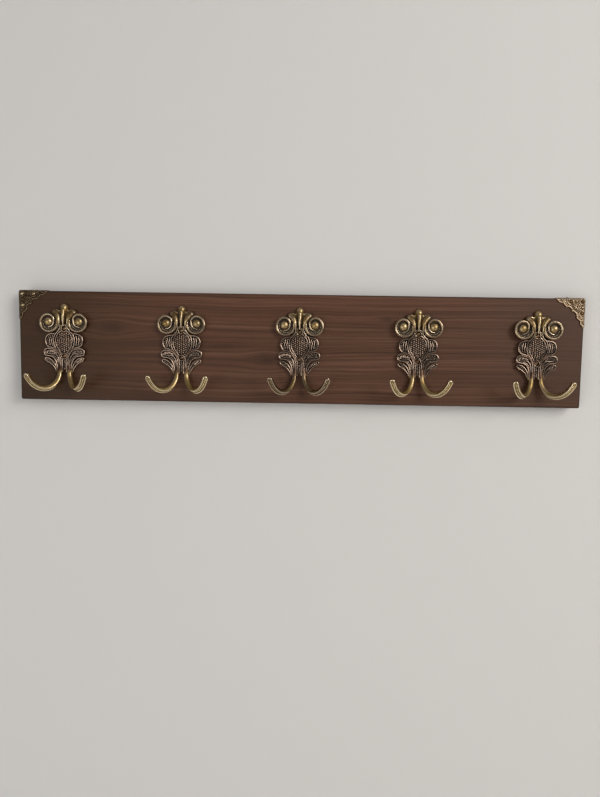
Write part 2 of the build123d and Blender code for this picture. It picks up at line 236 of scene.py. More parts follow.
def to_mesh(name, field, step, place, share):
    """A closed mesh of a field's zero surface, thinned to a share of its faces.

    place turns millimetres in the field's box into metres. The mesh's attributes say where the metal is
    rubbed (ridge) and where dirt gathers (recess).
    """
    grid = openvdb.FloatGrid(EMPTY)
    grid.copyFromArray(np.ascontiguousarray(field))
    points, triangles, quads = grid.convertToPolygons(0.0, 0.0)
    mesh = bpy.data.meshes.new(name)
    mesh.from_pydata(points.tolist(), [], [face.tolist() for face in [*triangles, *quads]])
    mesh = thinned(mesh, share)
    coords = vertex_coords(mesh)
    store(mesh, "ridge", crowding(field, step, RIDGE_REACH, coords))
    store(mesh, "recess", crowding(field, step, RECESS_REACH, coords))
    mesh.vertices.foreach_set("co", place(coords * step).ravel())
    mesh.polygons.foreach_set("use_smooth", np.ones(len(mesh.polygons), bool))
    mesh.update()
    return mesh


# ---------------------------------------------------------------- the cast hook
# x is the distance from the hook's centre line, y is up from the board's centre line, z is away from the
# board. Only one half is sculpted; the other is its mirror image. Sizes are in millimetres.

HOOK_STEP = 0.25  # between samples
HOOK_FACE_SHARE = 0.4
HOOK_HALF_WIDTH = 34.0
HOOK_BOTTOM = -51.0
HOOK_TOP = 48.5
HOOK_REACH = 33.5
PLATE_LAYERS = 9.5  # everything but the prongs is below this
FLOOR_TOP = 2.6
WEB_TOP = 3.8
HEAD_TOP = 7.4
BEAD_RADIUS = 0.68

VOLUTE = (15.7, 25.2)
VOLUTE_RADIUS = 9.4
VOLUTE_START = 168  # degrees, from the right and upwards
VOLUTE_END = 632
WIND_IN_START = 425
WIND_IN_ANGLE = 110
VOLUTE_BEAD_CIRCLE = 7.25
EYE = (16.8, 26.3)
EYE_RADIUS = 4.7
EYE_HEIGHT = 3.9
INNER_TURN_RADIUS = 5.9

SHIELD_MIDDLE_Y = 4.2
SHIELD_HALF_HEIGHT = 12.5
SHIELD_HALF_WIDTH = 9.6
SHIELD_CROWN = 1.9
PEBBLE_RADIUS = 1.02
PEBBLE_PITCH = 2.1
COLUMN_PITCH = 2.45
PEBBLE_MARGIN = 1.0  # from a pebble's middle to the oval's edge
PEBBLE_TO_SCREW = 4.5

SCREW_PLACES = (18.6, -11.3)
SEAT_RADIUS = 2.8
SEAT_RING_RADIUS = 3.1
SEAT_RING_TOP = 4.5
SEAT_FLOOR = 2.6
SEAT_HOLE_RADIUS = 2.0

# The prong's line, in the upright plane that it bends in: out from its root, and up
PRONG_PLANE = math.radians(45)
PRONG_ROOT = (4.9, 3.1)
PRONG_LINE = (
    (-1.9, -16), (-1.0, -21), (-0.1, -26), (0.3, -30), (1.6, -35.4), (5.4, -41.2), (11.3, -45.2),
    (18, -46.2), (24.9, -44.4), (30.8, -39.9), (34.6, -34.6), (36.6, -30.6), (37.6, -28),
)
PRONG_START_LENGTH = 3.0
PRONG_TIP_LENGTH = 4.6
PRONG_BEND_CENTRE = (18.0, -28.5)
PRONG_INNER = 2.8  # from the line to the round inner side
PRONG_OUTER = 2.3  # from the line to the flat outer side
PRONG_HALF_WIDTH = 2.85
PRONG_TWIST = math.radians(32)  # turns the flat outer side to the front
PRONG_SWELL = (0.68, 0.95, 1.06, 1.15, 1.17, 1.13, 1.08, 1.04, 1.0)
PRONG_RIM = 2.15  # from the line to the bright rim
GROOVE_START = 0.36  # as a share of the line
PRONG_BEAD_PITCH = 1.6
PRONG_BEAD_RADIUS = 0.62


def palmette(s):
    """A club-shaped tongue between two leaves that run down beside the volutes."""
    web = [
        (-3, 42), (3, 42), (4.8, 38.8), (8, 39.6), (11.4, 39.2), (12.4, 36.8), (9.4, 32.6), (7.5, 28),
        (7, 22), (7.5, 15), (-3, 12),
    ]
    s.floor(web, WEB_TOP)
    tongue = [(0, 20.5), (0, 26), (0, 31), (0, 36), (0, 41.4)]
    s.petal(tongue, [1.3, 2.1, 2.9, 3.9, 5.0], [5.4, 6.6, 7.4, 7.6, 6.4])
    crest = [(0, 22), (0, 27), (0, 33), (0, 38.5)]
    s.cord(crest, [0.7, 1.0, 1.1, 1.2], [6.6, 7.7, 8.1, 7.4], 1.6)
    leaf = [(4.3, 20.5), (4.8, 26.5), (6.1, 31.2), (8.4, 34.4), (10.4, 36.2)]
    s.petal(leaf, [1.5, 2.4, 3.6, 4.5, 4.1], [6.4, 7.6, 8.0, 7.4, 6.2], 0.5)


def volute(s):
    """A scroll: a thick rim that goes once round, then winds in beside the ball at its middle."""
    s.floor(arc_points(VOLUTE, VOLUTE_RADIUS, 0, 330, 12), 4.3)
    degrees = np.linspace(VOLUTE_START, VOLUTE_END, 28)
    angles = np.radians(degrees)
    wound_in = np.clip((degrees - WIND_IN_START) / WIND_IN_ANGLE, 0, 1)
    radius = VOLUTE_RADIUS + (INNER_TURN_RADIUS - VOLUTE_RADIUS) * wound_in
    x = VOLUTE[0] + (EYE[0] - VOLUTE[0]) * wound_in + radius * np.cos(angles)
    y = VOLUTE[1] + (EYE[1] - VOLUTE[1]) * wound_in + radius * np.sin(angles)
    rim_radius = [1.4, 1.4, 1.35, 1.35, 1.3, 1.25, 1.2, 1.1, 0.7]
    rim_top = [HEAD_TOP, HEAD_TOP, HEAD_TOP, 7.3, 7.2, 7.1, 6.8, 6.4, 5.6]
    s.cord(list(zip(x, y)), rim_radius, rim_top)
    s.beads(arc_points(VOLUTE, VOLUTE_BEAD_CIRCLE, 196, 378, 14), 0.78, 4.5)
    s.join(ellipsoid(s, (*EYE, 4.3), (EYE_RADIUS, EYE_RADIUS, EYE_HEIGHT)), 0.3)


def arc_points(centre, radius, start, end, count):
    """Points evenly along an arc, its angles in degrees."""
    angles = np.radians(np.linspace(start, end, count))
    return [(centre[0] + radius * math.cos(a), centre[1] + radius * math.sin(a)) for a in angles]


def row(start, end, count):
    """Points evenly along a straight line."""
    return [tuple(point) for point in np.linspace(start, end, count)]


def ellipsoid(s, centre, radii):
    """The field of an ellipsoid."""
    squares = [((axis - c) / radius) ** 2 for axis, c, radius in zip((s.x, s.y, s.z), centre, radii)]
    return (np.sqrt(sum(squares)) - 1) * min(radii)


def pebble_places():
    """The shield's pebbles: upright columns, each half a pitch off its neighbours, clear of the screws."""
    places = []
    for column in range(4):
        x = COLUMN_PITCH * column
        half_height = SHIELD_HALF_HEIGHT * math.sqrt(1 - (x / SHIELD_HALF_WIDTH) ** 2) - PEBBLE_MARGIN
        for k in range(-7, 8):
            y = SHIELD_MIDDLE_Y + PEBBLE_PITCH * (k + 0.5 * (column % 2))
            in_shield = abs(y - SHIELD_MIDDLE_Y) < half_height
            if in_shield and all(math.hypot(x, y - seat) > PEBBLE_TO_SCREW for seat in SCREW_PLACES):
                places.append((x, y))
    return places


def shield(s):
    """The pebbled oval and its two rims."""
    crown = SHIELD_CROWN * np.clip(1 - (s.x / 10) ** 2 - ((s.y - SHIELD_MIDDLE_Y) / 15) ** 2, 0, 1)
    outline = [
        (-3, 19), (3.8, 18), (7.4, 14), (10, 9), (10.6, 4), (9.2, -1), (6.4, -5.6), (4, -10), (-3, -12),
    ]
    s.floor(outline, FLOOR_TOP + crown)
    s.beads(pebble_places(), PEBBLE_RADIUS, FLOOR_TOP + crown - 0.05)
    outer = [
        (0.8, 23.4), (3.6, 21.2), (5.0, 18.2), (7.2, 15), (9.9, 12.2), (11.1, 8.4), (11.4, 4),
        (10.2, -0.8), (7.5, -4.9), (4.6, -8.4), (4.0, -12),
    ]
    s.cord(outer, 0.62, [5.8, 5.4, 5.2, 5.0, 5.0])
    inner = [(2.9, 16.6), (6.3, 13.4), (8.7, 9), (9.2, 4.4), (8.0, -0.2), (5.5, -4.4), (3.1, -8.4)]
    s.cord(inner, 0.5, 5.1)


def wing(s):
    """The fluted panel beside the shield, its outer edge bowed."""
    rim = [
        (5.4, 17.8), (7.4, 15.4), (10.7, 13.4), (14.6, 12.9), (17.7, 11.7), (19.7, 9.2), (20.4, 5.8),
        (19.8, 2.4), (17.8, -0.5), (14.7, -1.6), (11.4, -2.5), (8.4, -5), (5.8, -8.8),
    ]
    s.floor(rim, FLOOR_TOP)
    s.cord(rim, 0.72, 5.0)
    s.cord([(12.9, 10.9), (13.8, 5.6), (12.9, 0.2)], [0.5, 0.8, 0.5], [4.2, 4.9, 4.2], 0.2)
    s.cord([(15.4, 10.7), (16.3, 5.6), (15.4, 0.6)], [0.45, 0.7, 0.45], [4.0, 4.7, 4.0], 0.2)
    edge_beads = [(17.4, 9.7), (18.1, 8.0), (18.5, 6.2), (18.4, 4.3), (17.9, 2.6), (17.0, 1.2)]
    s.beads(edge_beads, BEAD_RADIUS, FLOOR_TOP + 0.7)


def broad_leaf(s):
    """The upper curling leaf: a rim, two veins, and dashes in its pocket."""
    rim = [
        (4.2, -28.5), (4.2, -18), (4.5, -12.5), (6.0, -8.5), (9.1, -5.2), (13.3, -3.4), (17.8, -3.1),
        (21, -4.3), (22.2, -7), (21.3, -9.7), (18.5, -10.8), (14.8, -11.3), (11.6, -13.1), (9.4, -16.6),
        (8.1, -21), (7.0, -28.5),
    ]
    s.floor(rim, FLOOR_TOP)
    s.cord(rim, [0.6, *[0.76] * 7, 0.6], [5.1, 5.3, 5.2, 5.0, 5.0, 5.0, 5.0, 5.1, 5.1])
    vein = [(5.6, -28.5), (6.0, -17), (7.3, -12), (9.8, -9.2), (13.2, -8.6), (16.6, -8.9), (19, -8.4)]
    s.cord(vein, [0.7, 0.65, 0.6, 0.5, 0.45], [5.2, 4.7, 4.5, 4.2, 4.0])
    lower_vein = [(6.8, -26), (7.4, -18.5), (8.7, -14.2), (11.3, -11.2), (14.6, -10.1)]
    s.cord(lower_vein, 0.36, [4.8, 4.3, 4.1, 4.0, 3.8], 0.2)
    for x in np.arange(9.6, 20.6, 1.55):
        droop = 0.054 * (x - 15) ** 2
        s.cord([(x + 0.35, -4.9 - droop), (x - 0.25, -7.1 - droop)], 0.46, 4.2, 0.15)


def narrow_leaf(s):
    """The lower curling leaf: a rim, and dashes in its pocket."""
    narrow = [
        (7.7, -29), (9.3, -23), (11.3, -18.6), (14.2, -15.3), (17.8, -13.5), (20.5, -13.3), (21.2, -14.9),
        (19.3, -17), (15.9, -18.8), (12.7, -21.6), (10.4, -25), (8.3, -29),
    ]
    s.floor(narrow, FLOOR_TOP - 0.3)
    s.cord(narrow, [0.5, 0.72, 0.66, 0.66, 0.64, 0.5], [4.6, 4.8, 4.6, 4.5, 4.4, 3.8])
    for x, y in row((12.4, -18.6), (18.8, -14.9), 6):
        s.cord([(x - 0.15, y + 0.9), (x + 0.25, y - 0.9)], 0.42, 3.8, 0.15)


def stem(s):
    """The fluted waist between the leaves and the prongs."""
    waist = [(-3, -8), (5, -8), (8.2, -16), (8.1, -24), (7.0, -29.5), (2.4, -29), (0, -26.4), (-3, -29)]
    s.floor(waist, 3.6)
    s.cord([(2.5, -14.8), (2.2, -20), (2.5, -28)], [0.7, 0.75, 0.8], 5.3)
    s.beads(row((0, -15.9), (0, -25), 7), BEAD_RADIUS, 3.8)


def screw_seats(s):
    """A ring, a recess and a hole for each screw."""
    for y in SCREW_PLACES:
        distance = np.hypot(s.x, s.y - y)
        ring = np.hypot(distance - SEAT_RING_RADIUS, np.maximum(s.z - SEAT_RING_TOP, 0)) - 0.42
        s.join(ring, 0.3)
        s.carve(np.maximum(distance - SEAT_RADIUS, SEAT_FLOOR - s.z), 0.2)
        s.carve(distance - SEAT_HOLE_RADIUS + 0 * s.z, 0.1)


def prong(s):
    """A prong that bends in its own plane and is joined to the stem."""
    cos, sin = math.cos(PRONG_PLANE), math.sin(PRONG_PLANE)
    x, y, z = np.broadcast_arrays(s.x - PRONG_ROOT[0], s.y, s.all_z - PRONG_ROOT[1])
    across = z * cos - x * sin
    near = (np.abs(across) < PRONG_HALF_WIDTH + 2) & (y < -12)
    out = (x * cos + z * sin)[near]
    body = prong_body(out, y[near], across[near])
    s.field[near] = smooth_min(s.field[near], body.astype(np.float32), 0.8)


def prong_body(out, up, across):
    """The prong's field: round inside, flat outside with a rounded tip."""
    path = smooth_path(PRONG_LINE)
    path_run = np.concatenate([[0], np.cumsum(np.hypot(*np.diff(path, axis=0).T))])
    path_radius = np.hypot(*(path - PRONG_BEND_CENTRE).T)
    distance, along = nearest(path, out, up)
    run = along * path_run[-1]
    radius = np.hypot(out - PRONG_BEND_CENTRE[0], up - PRONG_BEND_CENTRE[1])
    away = np.where(radius > np.interp(run, path_run, path_radius), distance, -distance)
    turned = across * math.cos(PRONG_TWIST) - away * math.sin(PRONG_TWIST)
    outward = away * math.cos(PRONG_TWIST) + across * math.sin(PRONG_TWIST)
    past_end = np.maximum(PRONG_START_LENGTH - run, 0) + np.maximum(run - path_run[-1] + PRONG_TIP_LENGTH, 0)
    sideways = np.hypot(turned, past_end)
    swell = spread(PRONG_SWELL, along)
    depth = np.where(outward > 0, PRONG_OUTER, PRONG_INNER) * swell
    flatness = np.where(outward > 0, spread([2, 2, 2.6, 4, 4.5, 4.5, 4.5], along), 2.0)
    size = (np.abs(outward) / depth) ** flatness + (sideways / (PRONG_HALF_WIDTH * swell)) ** flatness
    body = (size ** (1 / flatness) - 1) * PRONG_OUTER
    return with_groove(body, along, run, sideways, outward)


def with_groove(body, along, run, sideways, outward):
    """The prong with a bright rim round a beaded groove in its flat side."""
    grooved = np.clip((along - GROOVE_START) * 8, 0, 1)
    rim = np.hypot(sideways - PRONG_RIM, outward - 1.8) - 0.55
    body = smooth_min(body, np.where(grooved > 0.1, rim, EMPTY), 0.4)
    trough = 1.45 * grooved - np.hypot(sideways * 0.85, outward - 2.9)
    body = -smooth_min(-body, -trough, 0.3)
    to_bead = run % PRONG_BEAD_PITCH - PRONG_BEAD_PITCH / 2
    bead = np.sqrt(to_bead**2 + sideways**2 + (outward - 1.5) ** 2) - PRONG_BEAD_RADIUS
    return smooth_min(body, np.where(grooved > 0.6, bead, EMPTY), 0.12)


def hook_field():
    """The field of half a hook."""
    s = Sculpture((0, HOOK_BOTTOM, -1), (HOOK_HALF_WIDTH, HOOK_TOP, HOOK_REACH), HOOK_STEP, PLATE_LAYERS)
    palmette(s)
    volute(s)
    wing(s)
    broad_leaf(s)
    narrow_leaf(s)
    shield(s)
    stem(s)
    prong(s)
    screw_seats(s)
    back = np.broadcast_to(s.all_z, s.field.shape)
    s.field = np.maximum(s.field, -back)
    return s


def gilding(x, y):
    """How golden a hook still is at a place: bright on the palmette, the scroll balls and the prongs."""
    side = np.abs(x)
    palmette_gilt = 0.9 * rise(y, 20, 30) * (1 - 0.5 * rise(side, 4, 8)) * (1 - rise(side, 10, 14))
    ball_gilt = 1 - rise(np.hypot(side - EYE[0], y - EYE[1]), EYE_RADIUS, EYE_RADIUS + 1)
    prong_gilt = 1 - rise(y, -32, -25)
    scroll_gilt = 0.35 * rise(y, 13, 20)
    return np.maximum.reduce([palmette_gilt, ball_gilt, prong_gilt, scroll_gilt])


def hook_mesh():
    """The whole hook, standing on the board at x = 0."""
    s = hook_field()
    whole = np.concatenate([s.field[:0:-1], s.field])

    def place(mm):
        x = mm[:, 0] - HOOK_HALF_WIDTH
        y = mm[:, 1] + s.low[1]
        z = mm[:, 2] + s.low[2]
        return np.stack([x, FRONT_Y - z, y], axis=1) * MM

    mesh = to_mesh("hook_casting", whole, HOOK_STEP, place, HOOK_FACE_SHARE)
    placed = vertex_coords(mesh) / MM
    store(mesh, "gilt", gilding(placed[:, 0], placed[:, 2]))
    return mesh


# ---------------------------------------------------------------- the stamped corner plates
# u runs inwards from the end flap's face, v down from the top flap's face, w back from the front face.
# The two legs are alike, so whatever is drawn on one is drawn on the other.

PLATE_STEP = 0.22  # between samples
PLATE_FACE_SHARE = 0.45
PLATE_MARGIN = 1.5
SHEET = 0.8
WRAP_RADIUS = 2.6  # of the sheet's outside, where it folds over the board's rounded edges
FOLD_BAND = 3.4
FLAP_CORNER_RADIUS = 3.0
NAIL_HOLE_RADIUS = 0.7
# The scalloped edge in runs from a leg's tip to the diagonal: where a run ends, and how far it bows outwards
SCALLOP_RUNS = ((25.3, 5.9, 2.2), (21.6, 10.3, 0.2), (15.3, 15.3, -2.3))
# The embossed pattern: rings as centre, radius, half-width and height, where a radius of 0 makes a boss,
# and ridges as points, half-widths and height. The nails have rings of their own.
NAIL_RING = (2.9, 0.6, 0.6)
RINGS = (
    ((12.2, 12.2), 2.3, 0.65, 0.75),
    ((12.2, 12.2), 0, 1.0, 0.8),
    ((8.0, 8.0), 0, 1.5, 0.8),
    ((10.7, 4.0), 0, 1.7, 0.85),
    ((12.9, 2.8), 0, 0.9, 0.6),
    ((8.5, 2.8), 0, 0.9, 0.6),
    ((10.7, 6.6), 0, 0.7, 0.5),
)
RIDGES = (
    ([(7.4, 8.2), (9.6, 8.4), (12.2, 8.0), (14.8, 9.0), (17.2, 9.0)], [0.6, 0.9, 0.6], 0.6),
    ([(19.4, 8.9), (21.6, 6.6), (22.9, 3.9), (23.2, 2.2)], [0.55, 0.7, 0.5], 0.65),
    ([(21.2, 8.8), (23.4, 6.2), (24.6, 3.9), (24.9, 2.2)], [0.5, 0.65, 0.5], 0.6),
    ([(18.0, 8.2), (20.0, 6.4), (21.2, 4.4), (21.4, 2.2)], [0.4, 0.6, 0.45], 0.6),
    ([(26.2, 2.0), (28.4, 3.0), (30.8, 2.2)], [0.5, 0.8, 0.3], 0.65),
    ([(26.6, 4.4), (28.8, 4.2), (30.4, 3.2)], [0.5, 0.6, 0.3], 0.5),
)
EDGE_ROLL = 0.75
PLATE_HIGH = np.array(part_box("right_corner_plate")[1]) / MM
PLATE_LOW = np.array(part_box("right_corner_plate")[0]) / MM
PLATE_SIZE = PLATE_HIGH - PLATE_LOW


def nail_place(nail):
    """A right-hand nail's place as u, v and w."""
    low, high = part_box(f"right_plate_{nail}_nail")
    x, y, z = (np.array(low) + np.array(high)) / 2 / MM
    return PLATE_HIGH[0] - x, PLATE_HIGH[2] - z, y - PLATE_LOW[1]


def bowed(start, end, bow, count=8):
    """Points along a run that bows out sideways by a distance, without its end."""
    start, end = np.array(start), np.array(end)
    t = np.arange(count)[:, None] / count
    step = end - start
    sideways = np.array([step[1], -step[0]]) / math.hypot(*step)
    return start + t * step + 4 * bow * t * (1 - t) * sideways


def scalloped_outline(leg):
    """The closed outline of the plate's front face."""
    cusps = [(leg, 0.0), *((u, v) for u, v, _ in SCALLOP_RUNS)]
    cusps += [(v, u) for u, v in reversed(cusps[:-1])]
    bows = [bow for _, _, bow in SCALLOP_RUNS]
    bows += reversed(bows)
    runs = [bowed(start, end, bow) for start, end, bow in zip(cusps, cusps[1:], bows)]
    outside = -PLATE_MARGIN - 1
    return np.vstack([*runs, [(0, leg), (outside, leg), (outside, outside), (leg, outside)]])


def embossing(axis, edge, nails):
    """How far the front face is raised, over a square of samples."""
    u, v = axis[:, None], axis[None, :]
    height = np.zeros((len(axis), len(axis)), np.float32)

    def press(distance, half_width, raised):
        bump = raised * np.sqrt(np.clip(1 - (distance / half_width) ** 2, 0, 1))
        np.maximum(height, np.maximum(bump, bump.T), out=height)

    press(edge + EDGE_ROLL, EDGE_ROLL, 0.7)
    for centre, radius, half_width, raised in [*((nail, *NAIL_RING) for nail in nails), *RINGS]:
        press(np.hypot(u - centre[0], v - centre[1]) - radius, half_width, raised)
    for points, half_width, raised in RIDGES:
        distance, along = nearest(smooth_path(points), u, v)
        press(distance, spread(half_width, along), raised)
    flat = rise(np.minimum(u, v), 0.9, 1.9)
    for nail_u, nail_v in nails:
        for near_u, near_v in ((nail_u, nail_v), (nail_v, nail_u)):
            flat = flat * rise(np.hypot(u - near_u, v - near_v), 2.1, 2.6)
    return height * flat


def plate_field():
    """The field of the right corner plate, in steps from the margin outside its corner."""
    leg = PLATE_SIZE[0]
    depth = PLATE_SIZE[1]
    axis = np.arange(-PLATE_MARGIN, leg + PLATE_MARGIN, PLATE_STEP, dtype=np.float32)
    back = np.arange(-PLATE_MARGIN, depth + PLATE_MARGIN, PLATE_STEP, dtype=np.float32)
    u, v, w = axis[:, None, None], axis[None, :, None], back[None, None, :]
    edge = region(scalloped_outline(leg), axis[:, None], axis[None, :], 1)
    nails = [nail_place(nail)[:2] for nail in ("corner", "inner", "lower")]
    raised = embossing(axis, edge, nails)[:, :, None]
    inwards = [WRAP_RADIUS - distance for distance in (u, v, w)]
    corner = np.sqrt(sum(np.maximum(part, 0) ** 2 for part in inwards))
    flat = np.minimum(np.maximum(np.maximum(inwards[0], inwards[1]), inwards[2]), 0)
    outside = corner + flat - WRAP_RADIUS

    def flap(along, across):
        long_part = np.maximum(along - leg + FLAP_CORNER_RADIUS, 0)
        deep_part = np.maximum(w - depth + FLAP_CORNER_RADIUS, 0)
        return np.maximum(np.hypot(long_part, deep_part) - FLAP_CORNER_RADIUS, across - FOLD_BAND)

    cut = np.minimum(np.maximum(edge[:, :, None], w - FOLD_BAND), np.minimum(flap(u, v), flap(v, u)))
    field = -smooth_min(-(outside - raised), outside + SHEET, 0.2)
    field = -smooth_min(-field, -cut, 0.25)
    for nail_u, nail_v in nails:
        hole = NAIL_HOLE_RADIUS - np.hypot(u - nail_u, v - nail_v)
        field = np.where(w < FOLD_BAND, np.maximum(field, hole), field)
    top_u, _, top_w = nail_place("top")
    for along, across in ((u, v), (v, u)):
        hole = NAIL_HOLE_RADIUS - np.hypot(along - top_u, w - top_w)
        field = np.where(across < FOLD_BAND, np.maximum(field, hole), field)
    return np.ascontiguousarray(field, dtype=np.float32)


def corner_plates(materials):
    """The embossed plates, right and left alike."""
    field = plate_field()
    for side, sign in (("right", 1), ("left", -1)):

        def place(mm):
            u, v, w = (mm - PLATE_MARGIN).T
            x = sign * (PLATE_HIGH[0] - u)
            return np.stack([x, PLATE_LOW[1] + w, PLATE_HIGH[2] - v], axis=1) * MM

        mesh = to_mesh(f"{side}_corner_plate_stamping", field, PLATE_STEP, place, PLATE_FACE_SHARE)
        if side == "right":
            mesh.flip_normals()  # the field's frame is left-handed there
        mesh.materials.append(materials[side])
        piece = bpy.data.objects.new(mesh.name, mesh)
        bpy.context.scene.collection.objects.link(piece)
        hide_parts(f"{side}_corner_plate")
        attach(piece, "root")


# ---------------------------------------------------------------- materials


class Shader:
    """A material's node tree, with short ways to add nodes to it."""

    def __init__(self, name):
        self.material = bpy.data.materials.new(name)
        self.material.use_nodes = True
        self.nodes = self.material.node_tree.nodes
        self.surface = self.nodes["Principled BSDF"]

    def node(self, kind, **settings):
        """A node with its properties set."""
        made = self.nodes.new(kind)
        for name, value in settings.items():
            setattr(made, name, value)
        return made

    def link(self, value, socket):
        """Joins an output, or sets a plain number or colour."""
        if isinstance(value, bpy.types.NodeSocket):
            self.material.node_tree.links.new(value, socket)
        else:
            socket.default_value = value

    def scaled(self, vector, scale):
        """A vector with each part scaled."""
        mapping = self.node("ShaderNodeMapping")
        self.link(vector, mapping.inputs["Vector"])
        mapping.inputs["Scale"].default_value = scale
        return mapping.outputs["Vector"]

    def position(self, scale=(1, 1, 1)):
        """The place in the rack's frame in metres, scaled."""
        return self.scaled(self.node("ShaderNodeNewGeometry").outputs["Position"], scale)

    def coordinates(self):
        """The three parts of the place in the rack's frame."""
        parts = self.node("ShaderNodeSeparateXYZ")
        self.link(self.position(), parts.inputs[0])
        return parts.outputs

    def noise(self, vector, scale=1.0, detail=3.0, roughness=0.55, distortion=0.0):
        """Smooth noise from 0 to 1."""
        made = self.node("ShaderNodeTexNoise")
        self.link(vector, made.inputs["Vector"])
        made.inputs["Scale"].default_value = scale
        made.inputs["Detail"].default_value = detail
        made.inputs["Roughness"].default_value = roughness
        made.inputs["Distortion"].default_value = distortion
        return made.outputs["Fac"]

    def math(self, operation, a, b=0.0):
        """One arithmetic step."""
        made = self.node("ShaderNodeMath", operation=operation)
        for value, socket in zip((a, b), made.inputs):
            self.link(value, socket)
        return made.outputs[0]

    def add(self, a, b):
        """A sum."""
        return self.math("ADD", a, b)

    def times(self, a, b):
        """A product."""
        return self.math("MULTIPLY", a, b)

    def swing(self, value, size):
        """A value from 0 to 1 turned into one that goes as far below 0 as above it."""
        return self.times(self.math("SUBTRACT", value, 0.5), size)

    def ramp(self, value, low, high, to_low=0.0, to_high=1.0):
        """A value mapped smoothly from one range to another."""
        made = self.node("ShaderNodeMapRange", interpolation_type="SMOOTHSTEP")
        for entry, socket in zip((value, low, high, to_low, to_high), made.inputs):
            self.link(entry, socket)
        return made.outputs[0]

    def mix(self, share, a, b):
        """Two colours mixed by a share."""
        made = self.node("ShaderNodeMix", data_type="RGBA")
        self.link(share, made.inputs[0])
        for value, socket in ((a, made.inputs[6]), (b, made.inputs[7])):
            self.link(value, socket)
        return made.outputs[2]

    def attribute(self, name):
        """A number kept at each vertex."""
        return self.node("ShaderNodeAttribute", attribute_name=name).outputs["Fac"]

    def bump(self, height, distance, strength=1.0, normal=None):
        """A bump of a height in metres."""
        made = self.node("ShaderNodeBump")
        made.inputs["Strength"].default_value = strength
        made.inputs["Distance"].default_value = distance
        self.link(height, made.inputs["Height"])
        if normal:
            self.link(normal, made.inputs["Normal"])
        return made.outputs["Normal"]

    def finish(self, colour, roughness, normal=None, metallic=0.0):
        """Joins up the surface."""
        self.link(colour, self.surface.inputs["Base Color"])
        self.link(roughness, self.surface.inputs["Roughness"])
        self.link(metallic, self.surface.inputs["Metallic"])
        if normal:
            self.link(normal, self.surface.inputs["Normal"])
        return self.material


def rgb(red, green, blue):
    """A screen colour from 0 to 255 as a linear one."""
    screen = [part / 255 for part in (red, green, blue)]
    return (*((c / 12.92 if c <= 0.04045 else ((c + 0.055) / 1.055) ** 2.4) for c in screen), 1.0)


KNOTS = ((-207, 21, 17, 8), (-36, -12, 15, 7), (96, 34, 12, 4))  # x, z and half-sizes, in millimetres
KNOT_BEND = 0.75  # how far the grain is pushed aside, as a share of a knot's height
DARK_RIM = 0.003


def knots(m, x, z):
    """How far the knots push the grain up, and how dark their hearts are."""
    push = 0.0
    hearts = 0.0
    for knot_x, knot_z, wide, high in KNOTS:
        across = m.math("DIVIDE", m.math("SUBTRACT", x, knot_x * MM), wide * MM)
        up = m.math("DIVIDE", m.math("SUBTRACT", z, knot_z * MM), high * MM)
        distance_squared = m.add(m.math("POWER", across, 2.0), m.math("POWER", up, 2.0))
        nearness = m.times(distance_squared, -0.5)
        bend = m.times(m.times(m.math("EXPONENT", nearness), up), -KNOT_BEND * high * MM)
        push = m.add(push, bend)
        hearts = m.add(hearts, m.math("EXPONENT", m.times(nearness, 4.0)))
    return push, hearts


def stained_pine():
    """Planed pine stained dark walnut, with the grain along the board and bent round its knots. Towards the
    left end the colour is painted darker, which is painted shade; towards the right end it is painted darker
    and greyer, standing in for glare.
    """
    m = Shader("stained_pine")
    x, y, z = m.coordinates()
    push, hearts = knots(m, x, z)
    wander = m.times(m.noise(m.position((2.6, 1, 9)), 1.0, 2.0, 0.5), 0.03)
    grain = m.node("ShaderNodeCombineXYZ")
    for value, socket in zip((x, y, m.add(z, m.add(wander, push))), grain.inputs):
        m.link(value, socket)
    grain = grain.outputs[0]
    bands = m.noise(m.scaled(grain, (1.4, 30, 75)), 1.0, 2.0, 0.5, 0.3)
    lines = m.noise(m.scaled(grain, (3.5, 130, 420)), 1.0, 3.0, 0.6)
    pores = m.noise(m.scaled(grain, (22, 700, 1700)), 1.0, 2.0, 0.5)
    blotch = m.noise(m.position((4, 10, 9)), 1.0, 3.0, 0.5)
    half_length, half_height = BOARD_HIGH[0] * MM, BOARD_HIGH[2] * MM
    from_middle = m.math("SUBTRACT", m.math("ABSOLUTE", x), half_length - half_height)
    rim = m.math("MAXIMUM", m.math("ABSOLUTE", z), from_middle)

    colour = m.mix(m.ramp(bands, 0.3, 0.7), rgb(84, 54, 37), rgb(96, 63, 46))
    for share, stain_and_painted_light in (
        (m.ramp(lines, 0.5, 0.68, 0.0, 0.55), rgb(118, 85, 67)),
        (m.ramp(lines, 0.49, 0.3, 0.0, 0.6), rgb(60, 37, 26)),
        (m.ramp(pores, 0.55, 0.75, 0.0, 0.5), rgb(50, 32, 24)),
        (m.ramp(blotch, 0.4, 0.8, 0.0, 0.35), rgb(76, 54, 40)),
        (m.times(hearts, 0.55), rgb(52, 33, 24)),
        # Painted shade: darker towards the left end, where the light from the right falls off.
        (m.ramp(x, -0.12, -half_length, 0.0, 0.85), rgb(56, 36, 14)),
        # Painted light: darker and greyer towards the right end, standing in for the glare there.
        (m.ramp(x, 0.15, half_length, 0.0, 0.55), rgb(74, 53, 40)),
        (m.ramp(rim, half_height - DARK_RIM, half_height, 0.0, 0.65), rgb(50, 36, 28)),
    ):
        colour = m.mix(share, colour, stain_and_painted_light)
    roughness = m.ramp(lines, 0.2, 0.8, 0.46, 0.6)
    normal = m.bump(lines, 0.00025, 0.6)
    normal = m.bump(pores, 0.00012, 0.5, normal)
    m.surface.inputs["Specular IOR Level"].default_value = 0.2
    return m.finish(colour, roughness, normal)


RUBBED = (0.5, 0.36)  # the ridge attribute where wear begins and where it is full
DIRTY = (0.5, 0.68)  # the recess attribute, likewise
DULL_REACH = (0.035, 0.06)  # from the rack's middle, where gilding is worn off the prongs, and is whole


